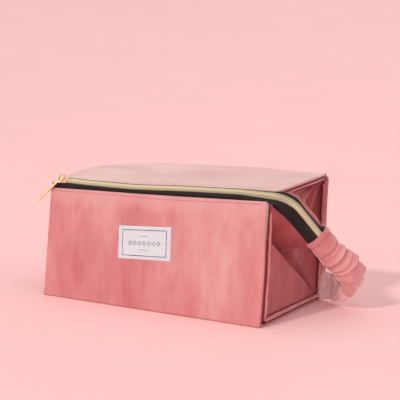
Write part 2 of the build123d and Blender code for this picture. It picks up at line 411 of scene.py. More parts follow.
lining_cloth = woven("lining_cloth", (0.035, 0.03, 0.03), (0.018, 0.015, 0.015), 260)
tape_cloth = woven("zip_tape_cloth", (0.024, 0.016, 0.014), (0.01, 0.007, 0.006), 420, 0.08)
label_cloth = woven("label_cloth", (0.7, 0.77, 0.81), (0.61, 0.66, 0.7), 520, 0.1, 0.7)
navy_thread = woven("navy_thread", (0.05, 0.055, 0.16), (0.03, 0.035, 0.1), 700, 0.1, 0.6)
# Dark red cloth for tubes laid in the seams' grooves: painted shade for the grooves' shadow.
groove_shade_cloth = woven("dark_red_groove_shade", (0.26, 0.03, 0.04), (0.15, 0.018, 0.025), 700, 0.0, 0.9)
pink_thread = woven("pink_thread", (0.62, 0.2, 0.22), (0.4, 0.1, 0.12), 900, 0.1, 0.6)
elastic_cloth = woven("elastic_cloth", (0.8, 0.46, 0.45), (0.6, 0.3, 0.3), 480)


def grained(name, scale, stretch, detail, dark, pale, height, roughness, **sockets):
    """A plain material whose grain runs from a dark to a pale colour."""
    m = Nodes(name)
    grain = m.noise(scale, stretch, detail)
    colour = m.ramp(grain, (0.3, dark), (0.7, pale))
    return m.finish(colour, m.bump(grain, height, 0.4), roughness, **sockets)


def rose_gold():
    m = Nodes("rose_gold_plate")
    worn = m.noise(320, detail=3)
    colour = m.ramp(worn, (0.3, (0.9, 0.62, 0.38)), (0.7, (1.0, 0.8, 0.56)))
    scratches = m.noise(1500, (1, 1, 0.2), detail=2)
    rough = m.maths("ADD", m.maths("MULTIPLY", scratches, 0.12), 0.12)
    return m.finish(colour, m.bump(scratches, 0.00002, 0.3), rough, Metallic=1.0)


gold_coil = grained(
    "zip_coil_gold", 700, even, 2, (0.95, 0.78, 0.45), (1.0, 0.93, 0.68), 0.00004, 0.3, Metallic=0.35)
metal = rose_gold()
board = grained("grey_board", 500, (1, 1, 0.3), 3, (0.32, 0.29, 0.25), (0.42, 0.39, 0.34), 0.0001, 0.9)


def finish_cad_nodes():
    """The CAD nodes whose shape is right stay, with a better material."""
    shown = {
        metal: ("slider_body", "slider_bail", "zip_pull", "zip_top_stop", "zip_bottom_stop"),
        board: ("front_board", "bottom_board", "back_board", "lid_board"),
    }
    for material, names in shown.items():
        for name in names:
            mesh = frame["nodes"][name].data
            mesh.materials.clear()
            mesh.materials.append(material)


# Walls


class Wall:
    """One wall of the bag: x runs along the bag and t along the wall, both in its outer face."""

    def __init__(self, start, end, before=None, after=None):
        self.start = np.asarray(start, float)
        self.end = np.asarray(end, float)
        self.height = np.linalg.norm(self.end - self.start)
        self.along = unit(self.end - self.start)
        self.inward = np.array((-self.along[1], self.along[0]))
        self.start_cut = self.mitre(self.start, before, self.end)
        self.end_cut = self.mitre(self.end, self.start, after)

    @staticmethod
    def mitre(corner, before, after):
        if before is None or after is None:
            return 0
        return 1 / math.tan(corner_ways(corner, before, after)[3])

    def out(self):
        return np.array((0, -self.inward[0], -self.inward[1]))

    def point(self, x, t, depth):
        low = max(depth, 0) * self.start_cut + seam_gap
        high = self.height - max(depth, 0) * self.end_cut - seam_gap
        t = low + t / self.height * (high - low)
        y, z = self.start + self.along * t + self.inward * depth
        return np.array((x, y, z))


front = Wall(front_top, front_foot, after=back_foot)
bottom = Wall(front_foot, back_foot, front_top, back_top)
back = Wall(back_foot, back_top, front_foot, lid_front)
lid = Wall(back_top, lid_front + (-2.6, -0.4), back_foot)


def bow(x):
    """How far the back's top edge is bowed up between the bag's ends."""
    return 3.0 * smooth(-119, -70, x) * smooth(112, 40, x)


def sag(x):
    """How far the front's top edge hangs down between the bag's ends."""
    return 1.5 * hump(8, 62, x) * smooth(120, 90, abs(x))


def taper(x, t):
    """The front is drawn in a little at the right end of its top edge."""
    return -2.3 * smooth(75, 0, t) * smooth(70, 120, x)


def front_stretch(x, t):
    return np.array((taper(x, t), 0, -sag(x) * smooth(30, 0, t)))


def back_stretch(x, t):
    return np.array((0, 0, bow(x) * smooth(back.height - 28, back.height, t)))


def lid_stretch(x, t):
    return np.array((0, 0, bow(x) * smooth(50, 0, t)))


def shell(name, wall, relief, stretch, material, edge=1.7, loops=9):
    """The velvet over one wall's board: an outer face with relief, soft rolled edges and a flat inner face."""
    xs = spread(-half_length + edge, half_length - edge, 0.7, 2.4, 7)
    ts = spread(edge, wall.height - edge, 0.7, 2.4, 7)
    rows, columns = len(ts), len(xs)
    lift = np.array([[relief(x, t) for x in xs] for t in ts])
    up = np.array([[stretch(x, t) for x in xs] for t in ts])
    places = [(j, i) for j in range(rows) for i in range(columns)]
    points = [wall.point(xs[i], ts[j], -lift[j, i]) + up[j, i] for j, i in places]
    border = rim_of(rows, columns)
    rings = [[j * columns + i for j, i in border]]
    for k in range(1, loops):
        angle = math.pi * k / loops
        reach = edge * math.sin(angle) * (1 - 0.35 * hump(math.pi / 2, 0.28, angle))
        ring = []
        for j, i in border:
            side = (i == columns - 1) - (i == 0)
            end = (j == rows - 1) - (j == 0)
            corner = 0.75 if side and end else 1
            x = xs[i] + side * reach * corner
            t = ts[j] + end * reach * corner
            outer = (1 + math.cos(angle)) / 2
            depth = wall_depth * (1 - outer) - lift[j, i] * outer
            ring.append(len(points))
            points.append(wall.point(x, t, depth) + up[j, i] * (1, outer, outer))
        rings.append(ring)
    inner = len(points)
    points += [wall.point(xs[i], ts[j], wall_depth) + up[j, i] * (1, 0, 0) for j, i in places]
    rings.append([inner + j * columns + i for j, i in border])
    faces = grid_faces(rows, columns) + flipped(grid_faces(rows, columns, inner))
    for one, two in zip(rings, rings[1:]):
        faces += [(b, a, c, d) for a, b, c, d in zip(one, one[1:] + one[:1], two, two[1:] + two[:1])]
    made = make_object(name, points, faces, material)
    made.data.validate()
    return made


def lining_sheet(name, wall, seed):
    """The lining of one wall, a little slack over the board and turned under at its edges."""
    inset = lining_inset
    xs = spread(-half_length + inset, half_length - inset, 1, 4, 5)
    ts = spread(inset, wall.height - inset, 1, 4, 5)

    def slack(x, t):
        edge = min(half_length - inset - abs(x), t - inset, wall.height - inset - t)
        rise = 0.35 * smooth(0, 3, edge) + 0.18 * wobble(x, t, 22, seed)
        return wall.point(x, t, wall_depth + 0.05 + rise)

    rows = np.array([[slack(x, t) for x in xs] for t in ts])
    return sheet_object(name, rows[:, ::-1], 0.35, lining_cloth, lining_cloth)


def from_edge(wall, x, t):
    return min(half_length - abs(x), t, wall.height - t)


def front_relief(x, t):
    """The front: t runs down from its top edge."""
    puckers = 0.16 * math.sin(x * 0.62 + 2 * wobble(x, 0, 30, 1)) * hump(5, 3, t)
    stitch = -0.42 * hump(3.0, 0.65, t)
    slack = 0.55 * wobble(x, t, 46, 2) + 0.25 * wobble(x, t * 0.5, 17, 3)
    edge = smooth(0, 14, from_edge(front, x, t))
    side = -0.3 * hump(half_length - 4.4, 0.6, abs(x))
    return puckers + stitch + side + slack * edge + 0.5 * edge


def lid_relief(x, t):
    """The lid: t runs forward from its back edge. It is arched at its left end and slack in the middle."""
    across = math.sin(math.pi * min(max(t / lid.height, 0), 1))
    arch = 4.6 * smooth(-30, -118, x) * across
    stitch = -0.4 * hump(lid.height - 3, 0.65, t)
    edge = smooth(0, 16, from_edge(lid, x, t))
    slack = 0.7 * wobble(x, t, 38, 4) + 0.35 * wobble(x * 1.3, t * 0.6, 15, 5)
    crease = 0.5 * hump(0, 5, x + 62 - 0.6 * t) - 0.45 * hump(0, 4, x + 50 - 0.55 * t)
    return arch + stitch + edge * (slack + crease * across + 0.4)


def back_relief(x, t):
    edge = smooth(0, 16, from_edge(back, x, t))
    slack = 0.6 * wobble(x, t, 42, 6) + 0.3 * wobble(x, t * 0.5, 16, 7)
    return edge * (slack + 0.5)


def build_walls():
    for name, wall, relief, stretch, cloth, seed in (
        ("front", front, front_relief, front_stretch, front_velvet, 11),
        ("bottom", bottom, lambda x, t: 0.0, lambda x, t: np.zeros(3), front_velvet, 12),
        ("back", back, back_relief, back_stretch, front_velvet, 13),
        ("lid", lid, lid_relief, lid_stretch, lid_velvet, 14),
    ):
        body = "base" if name == "bottom" else name
        skin = shell(f"{name}_shell", wall, relief, stretch, cloth)
        skin = carried(skin, body, "lid_velvet" if name == "lid" else "velvet", f"{name}_velvet")
        cover = carried(lining_sheet(f"{name}_lining_cloth", wall, seed), body, "lining", f"{name}_lining")


end_x = half_length - 0.5
seam_depth = 2.0


def fold_strip(name, corner, before, after, rise, first_cloth, last_cloth):
    """Velvet that turns round a fold between two walls, sunk at its two edges."""
    first, last, middle, _ = corner_ways(corner, before, after)
    arc, touch = fillet(corner, before, after, 2.0, 8, 0.12)
    section = [corner + first * 6 + middle * 0.45, corner + first * (touch + 1), *arc]
    section += [corner + last * (touch + 1), corner + last * 6 + middle * 0.45]
    xs = spread(-half_length + 0.4, half_length - 0.4, 1, 5, 4)
    rows = [[(x, y, z + rise(x)) for x in xs] for y, z in section]
    half = len(section) // 2
    kinds = [0] * (half * (len(xs) - 1)) + [2] * ((len(section) - 1 - half) * (len(xs) - 1))
    return sheet_object(name, rows, 0.4, first_cloth, front_velvet, last_cloth, kinds)


def inner_fold(name, corner, before, after):
    """Lining that bridges a fold between two walls on the inside."""
    first, last, middle, half_angle = corner_ways(corner, before, after)
    inside = corner + middle * ((wall_depth + 0.6) / math.sin(half_angle))
    ways = (first * 6, first * 2.5, middle * 0.9, last * 2.5, last * 6)
    section = [inside + way for way in ways]
    xs = np.linspace(-half_length + 3, half_length - 3, 60)
    rows = [[(x, y, z) for x in xs] for y, z in section]
    return sheet_object(name, np.array(rows)[:, ::-1], 0.35, lining_cloth, lining_cloth)


def fold_corner(name, corner, before, after):
    """A small fan of velvet inside each end of a fold, spread across the fold's angle."""
    first, last, middle, half_angle = corner_ways(corner, before, after)
    span = 2 * half_angle
    start = corner + middle * 1.2
    turns, reaches = np.linspace(0, 1, 25), np.linspace(0.4, 24, 12)
    chunks = []
    for sign in (-1, 1):
        rows = []
        for turn in turns:
            way = (first * math.sin((1 - turn) * span) + last * math.sin(turn * span)) / math.sin(span)
            rows.append([(sign * (end_x - 1.1 - 0.3 * r), *(start + way * r)) for r in reaches])
        for depth in (0, 0.5):
            points = np.array(rows).reshape(-1, 3) - (sign * depth, 0, 0)
            faces = grid_faces(len(turns), len(reaches))
            flip = (sign > 0) == (depth > 0)
            chunks.append((list(points), flipped(faces) if flip else faces))
    points, faces = join(chunks)
    layer = len(faces) // 4
    kinds = ([0] * layer + [1] * layer) * 2
    # The fans' outer faces take the darkened gusset velvet, painted shade.
    return make_object(name, points, faces, shaded_gusset_velvet, lining_cloth, face_material=kinds)


def build_folds():
    for name, corner, before, after, low, high in (
        ("front_fold", front_foot, back_foot, front_top, "base", "front"),
        ("back_fold", back_foot, front_foot, back_top, "base", "back"),
        ("lid_fold", back_top, back_foot, lid_front, "back", "lid"),
    ):
        toward = unit(after - corner) - unit(before - corner)
        toward = Vector((0, *unit(toward)))
        # The lid's side of this fold takes the lid's velvet, painted paler as a highlight.
        cloth = lid_velvet if name == "lid_fold" else front_velvet
        flip = name != "front_fold"
        rise = bow if name == "lid_fold" else (lambda x: 0)
        ends = (before, after) if flip else (after, before)
        outside = fold_strip(f"{name}_velvet", corner, *ends, rise, front_velvet, cloth)
        inside = inner_fold(f"{name}_lining", corner, before, after)
        for piece, slot, width in ((outside, "velvet", 0.0125), (inside, "lining", 0.0105)):
            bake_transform(piece)
        patch = fold_corner(f"{name}_corner_cloth", corner, before, after)
        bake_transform(patch)


# The chain's path, along the front top edge and then down the strap's plane

strap_down = np.array((0, math.sqrt(0.5), -math.sqrt(0.5)))
strap_across = np.array((0, math.sqrt(0.5), math.sqrt(0.5)))
strap_origin = np.array((0, *chain))
# Where the chain has turned on to the strap, in X and down the strap, and the way it runs from there
route_start = np.array((134.5, 4))
tail_run = unit(np.array((157, 81)) - route_start)
zip_end = route_start + tail_run * 57


def in_strap(x, q, n=0):
    return strap_origin + np.array((x, 0, 0)) + strap_down * q + strap_across * n


def rounded(points, radius, step):
    """A polyline in the plane, its corners rounded by arcs, as points about a step apart."""
    path = [points[0]]
    for before, corner, after in zip(points, points[1:], points[2:]):
        path += fillet(corner, before, after, radius, 12)[0]
    return by_step(path + [points[-1]], step)


def chain_dip(x):
    """The chain stands a little proud by the slider and sags a little in the middle."""
    return 1.0 * hump(-104, 22, x) - 1.3 * hump(-22, 42, x)


def chain_stations(step):
    """Points along the chain's middle, with the direction across it and the direction it faces."""
    tail = rounded(np.array([(90, 0), route_start, zip_end]), 22, 0.5)
    flat = [np.array((x, chain[0], chain[1] + chain_dip(x))) for x in np.arange(-119.5, 90, 0.5)]
    line = np.array(flat + [in_strap(x, q) for x, q in tail])
    centre = resample(line, np.arange(0, reach_along(line)[-1], step))
    tangent = np.gradient(centre, axis=0)
    stations = []
    for c, t in zip(centre, tangent):
        tilt = math.radians(30 + 15 * smooth(84, 126, c[0]))
        across = np.array((0, math.cos(tilt), math.sin(tilt)))
        t = unit(t)
        across = unit(across - t * (across @ t))
        stations.append((c, t, across, np.cross(t, across)))
    return stations


# The tail's tape: how far down the strap, X, and the offset across, for its chain and its two free edges
tail_downs = (0, 6, 17.9, 30, 42, 51, 60, 66)
front_edge = ((120.3, 1.5, -8.5), (126.6, 10, -10.2), (132.3, 20.6, -11.6), (136.8, 33, -12.2),
              (139.9, 43.4, -12.2), (141.9, 52, -11.6), (146, 61, -9.2), (150, 68, -7))
back_edge = ((121.0, 1.0, 5.0), (128.8, 6.9, 8.0), (135.4, 13.2, 8.6), (138.4, 26, 8), (142.6, 38.5, 8),
             (146.9, 50.1, 8), (150, 58, 8), (152, 66, 8))


def tail_point(edge, down):
    x, q, n = (np.interp(down, tail_downs, [p[i] for p in edge]) for i in range(3))
    return in_strap(x, q) + strap_across * n


def tape_sheet(name, sign):
    """Half of the zip's tape. sign is -1 for the front half and 1 for the lid's half."""
    rows = []
    for c, _, across, facing in chain_stations(1.5):
        tail = smooth(112, 124, c[0])
        down = (c - in_strap(0, 0)) @ strap_down
        rim = np.array((c[0], *(front_top + (2.2, -0.6) if sign < 0 else lid_front + (0.6, -2.2))))
        free = tail_point(front_edge if sign < 0 else back_edge, down)
        outer = rim * (1 - tail) + free * tail
        inside = smooth(57, 62, down)
        outer = outer * (1 - inside) + (c + across * (sign * 7.0)) * inside
        inner = c + across * (sign * 1.2)
        bend = c + across * (sign * 4.9) + facing * 0.1
        middle = bend * 0.5 + outer * 0.5 + facing * (0.3 + 0.5 * tail)
        rows.append([inner, c + across * (sign * 3.4) + facing * 0.05, bend, middle, outer])
    rows = np.array(rows)
    if sign < 0:
        rows = rows[:, ::-1]
    return sheet_object(name, rows, 0.5, tape_cloth, tape_cloth)


def tooth(centre, tangent, across, facing, sign):
    """One turn of the coil: a rounded bar across half of the chain, with a thicker head in the middle."""
    points = []
    ring = 8
    stops = ((0.0, 0.16), (0.12, 0.44), (0.9, 0.5), (2.0, 0.46), (3.5, 0.4), (3.9, 0.16))
    for reach, radius in stops:
        rise = 0.55 - 0.1 * reach
        at = centre + across * (sign * (reach - 0.15)) + facing * rise + tangent * (0.3 * reach)
        for k in range(ring):
            angle = 2 * math.pi * k / ring
            wide, high = radius * math.cos(angle), radius * 1.35 * math.sin(angle)
            points.append(at + tangent * wide + facing * high)
    return points, tube_faces(len(stops), ring)


def teeth_row(name, sign):
    """Half of the coil: a turn at every second station, and the other half's turns between them."""
    pitch = 1.75
    chosen = chain_stations(pitch / 2)[8 + (sign > 0):-1:2]
    return make_object(name, *join([tooth(*station, sign) for station in chosen]), gold_coil)


def blend_front(piece):
    """The lower gusset and the front half of the zip: fixes their transform into their mesh."""
    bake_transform(piece)


def blend_lid(piece):
    """The upper gusset and the lid's half of the zip: fixes their transform into their mesh."""
    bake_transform(piece)


def build_zip():
    for name, build, sign, slot, replaced in (
        ("front_zip_tape_cloth", tape_sheet, -1, "zip_tape", ("front_zip_tape", "tail_front_tape")),
        ("lid_zip_tape_cloth", tape_sheet, 1, "zip_tape", ("lid_zip_tape", "tail_back_tape")),
        ("front_zip_coil", teeth_row, -1, "zip_teeth", ("front_zip_teeth", "tail_teeth")),
        ("lid_zip_coil", teeth_row, 1, "zip_teeth", ("lid_zip_teeth",)),
    ):
        piece = build(name, sign)
        blend = blend_front if sign < 0 else blend_lid
        blend(piece)
        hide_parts(*replaced)


# Gussets


def along_line(points, count):
    """Points spread evenly along a polyline."""
    return resample(points, np.linspace(0, reach_along(points)[-1], count))


def relaxed(points, rounds):
    points = np.array(points, float)
    for _ in range(rounds):
        points[1:-1] = 0.25 * points[:-2] + 0.5 * points[1:-1] + 0.25 * points[2:]
    return points


# A gusset is a fan of rows from its corner; the lower one's flat leaf takes the first columns of each row
fan_rows = 91
flat_columns = 26


def lower_gusset(side, sign, top_edge):
    """The gusset between front and bottom: a flat leaf up to a crisp fold, then a leaf folded in behind it."""
    corner = front.point(0, front.height - 3, seam_depth)[1:]
    top_edge = relaxed(along_line(top_edge, fan_rows), 12)
    fold_start = front.point(0, front.height * 0.3, seam_depth)[1:]
    fold_line = top_edge[-1][1:] - fold_start
    flat_part, folded_part = np.linspace(0, 1, flat_columns) ** 0.8, np.linspace(0, 1, 30)[1:] ** 1.5
    rows = []
    for index, edge in enumerate(top_edge):
        turn = index / (fan_rows - 1)
        ray = edge[1:] - corner
        crossing = np.linalg.solve(np.array([ray, -fold_line]).T, fold_start - corner)
        fold_at = np.clip(crossing[0], 0.05, 1.0)
        open_by = smooth(0.0, 0.12, turn) * smooth(1.0, 0.86, turn)
        row = []
        for rho in np.concatenate([flat_part * fold_at, fold_at + (1 - fold_at) * folded_part]):
            y, z = corner + ray * rho
            if rho <= fold_at:
                part = rho / fold_at
                slack = 0.5 * wobble(y, z, 26, 21 + sign) + 0.9 * open_by * part ** 3
                x = end_x + slack * smooth(0, 0.2, part) - 0.2
            else:
                part = (rho - fold_at) / (1 - fold_at + 1e-9)
                ridge = end_x + 0.7 * open_by
                rise = smooth(0.25, 1.0, part)
                x = ridge + (edge[0] - ridge) * rise
                valley = 8.5 * open_by * smooth(0, 0.13, part) * (1 - smooth(0.3, 0.95, part))
                crease = 2.2 * wobble(y * 0.5 + z, z * 0.4, 12, 23) * math.sin(math.pi * part) * open_by
                x = x - valley + crease
            row.append((sign * x, y, z))
        rows.append(row)
    rows = np.array(rows)
    columns = rows.shape[1]
    loose = np.clip((columns - 1 - np.arange(columns)) / 12, 0, 1) * (np.arange(columns) > flat_columns + 1) * 0.25
    for _ in range(220):
        bend = rows[:-2, :, 0] + rows[2:, :, 0] - 2 * rows[1:-1, :, 0]
        rows[1:-1, :, 0] += loose * bend
    if sign > 0:
        from_front = (rows[:, :, 1:] - front_top) @ front.inward
        rows[:, :, 0] -= 2.3 * smooth(35, 107, rows[:, :, 2]) * smooth(16, 3, from_front)
    # The flat leaf takes the paler velvet, a painted highlight, and the part folded in behind it the darker one,
    # painted shade.
    leaf = [2] * (flat_columns - 1) + [0] * (columns - flat_columns)
    if sign < 0:
        rows = rows[:, ::-1]
        leaf = leaf[::-1]
    kinds = leaf * (rows.shape[0] - 1)
    name = f"{side}_lower_gusset_cloth"
    return sheet_object(name, rows, 0.7, shaded_gusset_velvet, lining_cloth, lit_leaf_velvet, kinds)


def upper_gusset(side, sign, low_edge):
    """The gusset between lid and back: it falls in towards the middle, with folds that run to the top corner."""
    corner = lid.point(0, 3, seam_depth)[1:]
    low_edge = relaxed(along_line(low_edge, fan_rows), 12)
    rows = []
    for index, edge in enumerate(low_edge):
        turn = index / (fan_rows - 1)
        inside = smooth(0.0, 0.1, turn) * smooth(1.0, 0.9, turn)
        row = []
        for rho in np.linspace(0, 1, 54):
            y, z = corner + (edge[1:] - corner) * rho
            x = end_x + (edge[0] - end_x) * smooth(0.45, 1.0, rho)
            sink = 7.0 * inside * math.sin(math.pi * min(rho * 1.05, 1)) ** 0.8
            folds = 2.1 * math.sin(turn * 19 + 1.2) + 1.0 * math.sin(turn * 43)
            folds *= inside * math.sin(math.pi * rho) ** 1.2
            row.append((sign * (x - sink + folds + 0.4 * wobble(y, z, 20, 31 + sign) * inside), y, z))
        rows.append(row)
    rows = np.array(rows)
    if sign > 0:
        rows = rows[:, ::-1]
    return sheet_object(f"{side}_upper_gusset_cloth", rows, 0.7, shaded_upper_gusset_velvet, lining_cloth)


def tail_edge(sign):
    """Where the gusset is sewn to the tail's tape, from the bag's corner to the sleeve's mouth."""
    edge = front_edge if sign < 0 else back_edge
    line = []
    for down in np.linspace(1.0, 57, 16):
        near = (sign > 0) * smooth(34, 4, down)
        line.append(tail_point(edge, down) - strap_across * (sign * 0.6) - np.array((1.2, 0, 4.6)) * near)
    return line


def build_gussets():
    heel = bottom.point(0, bottom.height - 3.5, seam_depth)
    front_corner = front.point(0, 1.5, seam_depth)
    lid_corner = lid.point(0, lid.height - 1.5, seam_depth)
    heel_end = np.array((end_x - 0.5, heel[1], heel[2] + 0.6))
    start = np.array((end_x, front_corner[1], front_corner[2]))
    brow = np.array((end_x, lid_corner[1], lid_corner[2]))
    heel_above = heel_end + (0, 0.4, 0.6)
    under = ((127, -4.0, 65.0), (114.5, 11, 56), (113.0, 38, 32))
    right_low = [start, *tail_edge(-1), *under, heel_end]
    over = ((130, -1.0, 66.0), (113.8, 10, 53), (112.0, 37, 29))
    right_high = [brow, *tail_edge(1), *over, heel_above]
    seam = np.array(((118.6, -46.5, 108.6), (115.5, -37, 99), (112.5, -20, 84), (112, 20, 45), (113.5, 50, 17)))
    apart = (0.3, 0.8, 0.8)
    left_low = [start, *(seam + apart), heel_end]
    left_high = [brow, *(seam - apart), heel_above]
    for side, sign, low, high in (("right", 1, right_low, right_high), ("left", -1, left_low, left_high)):
        lower, upper = lower_gusset(side, sign, low), upper_gusset(side, sign, high)
        blend_front(lower)
        blend_lid(upper)
        for piece, level in ((lower, "lower"), (upper, "upper")):
            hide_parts(f"{side}_{level}_gusset")


# Seams


def wavy_tube(wall, sign, depth, stand, radius, seed):
    """A soft tube along a wall's sewn end, centred at depth below the wall's face and stand beyond its end."""
    path = []
    for t in np.arange(0.6, wall.height - 0.5, 1.5):
        low_part = smooth(100, 25, t) if wall is back else 1
        reach = stand * (0.25 + 0.75 * low_part) + 0.3 * radius * wobble(t, 5, 14, seed)
        p = wall.point(sign * (half_length + reach), t, depth + 0.15 * radius * wobble(t, 0, 9, seed + sign))
        if wall is front:
            p[0] += taper(sign * half_length, t)
        path.append(p)
    closing = np.minimum(np.arange(len(path)), np.arange(len(path))[::-1])
    uneven = [1 + 0.13 * wobble(p[1], p[2], 5, seed) for p in path]
    radii = [radius * u * min(1, 0.35 + 0.3 * n) for u, n in zip(uneven, closing)]
    points, faces = tube_points(path, radii, 12, (1, 0, 0))
    return [p + ((p[0] - path[k // 12][0]) * 0.4, 0, 0) for k, p in enumerate(points)], faces


# What stands at a wall's sewn end: depth below the wall's face, how far out it stands, and radius
seam_rolls = {"front": ((5.7, 0.5, 1.6),), "bottom": ((5.7, 0.4, 1.6),), "lid": ((4.6, 0.0, 1.0),),
              "back": ((1.9, 3.0, 1.3), (5.2, 2.4, 1.3), (8.4, 1.0, 1.1))}
# Dark tubes of painted shade in the grooves between the rolls and the walls, given in the same way.
seam_shade_tubes = {"front": ((3.4, 0.0, 1.1), (7.6, -0.3, 0.55)), "bottom": ((3.4, 0.0, 1.1), (7.6, -0.3, 0.55)),
                "lid": ((3.0, -0.1, 0.8), (6.0, -0.5, 0.5)),
                "back": ((3.6, 1.7, 0.9), (6.9, 1.2, 0.8), (10.0, -0.3, 0.6))}


def build_seams():
    """The sewn edge between each wall's end and its gusset, dark tubes of painted shade in its grooves, and the
    stitches near the zip.
    """
    for name, wall in (("front", front), ("bottom", bottom), ("back", back), ("lid", lid)):
        for kind, table, cloth in (("edge", seam_rolls, seam_velvet), ("groove_shade", seam_shade_tubes, groove_shade_cloth)):
            chunks = [
                wavy_tube(wall, sign, *tube, 41 + 2 * k)
                for sign in (-1, 1) for k, tube in enumerate(table[name])
            ]
            seam = make_object(f"{name}_seam_{kind}", *join(chunks), cloth)
            carried(seam, "base" if name == "bottom" else name, "velvet")
    xs = np.arange(-half_length + 4, half_length - 3, 2)
    top = [front.point(x, 3.0, 0.36) + (taper(x, 3), 0, -sag(x)) for x in xs]
    carried(make_object("front_top_stitches", *stitch_row(top, front.out()), pink_thread), "front", "velvet")
    brow = [lid.point(x, lid.height - 3.0, 0.36) for x in xs]
    carried(make_object("lid_front_stitches", *stitch_row(brow, lid.out()), pink_thread), "lid", "lid_velvet")


# Strap


# The sleeve's folds: the place along it at its front edge and at its back edge, the depth, and the angle round it
# where the fold is deepest, with that part's width
gathers = (
    (0, 0, 0, 0, 9), (5.2, 5.2, 0.7, 0, 9), (18, 15, 1.8, -2.0, 1.0), (23, 21, 1.0, -0.7, 1.3),
    (28.5, 28.5, 7.6, -0.9, 1.9), (36, 38, 2.6, -1.9, 1.0), (40.5, 45, 5.6, -0.5, 1.5), (53, 60, 3.4, -0.8, 1.3),
    (64, 72, 2.2, -1.5, 1.1), (76, 82, 2.2, 0, 9), (92, 96, 2.2, 0, 9), (106, 108, 2.0, 0, 9), (150, 150, 1.2, 0, 9),
)


# Places along the sleeve, from its mouth: the hem's stitches, and where the part that returns to the bag begins,
# which is painted paler as a painted highlight
hem_line = 5.0
return_start = 76


def gather_depth(along, turn):
    """How far the sleeve's cloth is drawn in between its puffs, at a place along it and an angle round it."""
    lines, depths = [], []
    across = math.cos(turn)
    for k, (at_front, at_back, deep, middle, width) in enumerate(gathers):
        sway = smooth(2, 16, at_front)
        curve = 2.4 * sway * (1 - across**2) * (1 if math.sin(turn) < 0 else -1)
        line = (at_front * (1 - across) + at_back * (1 + across)) / 2 + curve
        lines.append(line + sway * 1.3 * wobble(across, math.sin(turn), 0.7, k))
        off = abs((turn - middle + math.pi) % (2 * math.pi) - math.pi)
        fade = 0.1 + 0.9 * math.exp(-((off / width) ** 2))
        depths.append(deep * fade * (1 + 0.5 * wobble(across + 5 * k, math.sin(turn), 0.9, 53)))
    k = int(np.clip(np.searchsorted(lines, along) - 1, 0, len(lines) - 2))
    gap = max(lines[k + 1] - lines[k], 0.5)
    u = np.clip((along - lines[k]) / gap, 0, 1)
    lip = 0.24 * min(depths[k + 1], 5) * hump(0.9, 0.14, u)
    puff = 0.045 * gap * math.sin(math.pi * u) * smooth(14, 30, along)
    return depths[k] * (1 - u) ** 1.5 - lip - puff


def spline(points, step):
    """A smooth curve through points, resampled about a step apart."""
    points = np.asarray(points, float)
    padded = np.vstack([2 * points[0] - points[1], points, 2 * points[-1] - points[-2]])
    path = []
    for a, b, c, d in zip(padded, padded[1:], padded[2:], padded[3:]):
        for u in np.linspace(0, 1, 24, endpoint=False):
            square, cube = 2 * a - 5 * b + 4 * c - d, 3 * b - a - 3 * c + d
            path.append(0.5 * (2 * b + (c - a) * u + square * u**2 + cube * u**3))
    return by_step(path + [points[-1]], step)


def squared(x):
    """Turns a circle's sine or cosine into that of a slightly square round."""
    return math.copysign(abs(x) ** 0.8, x)


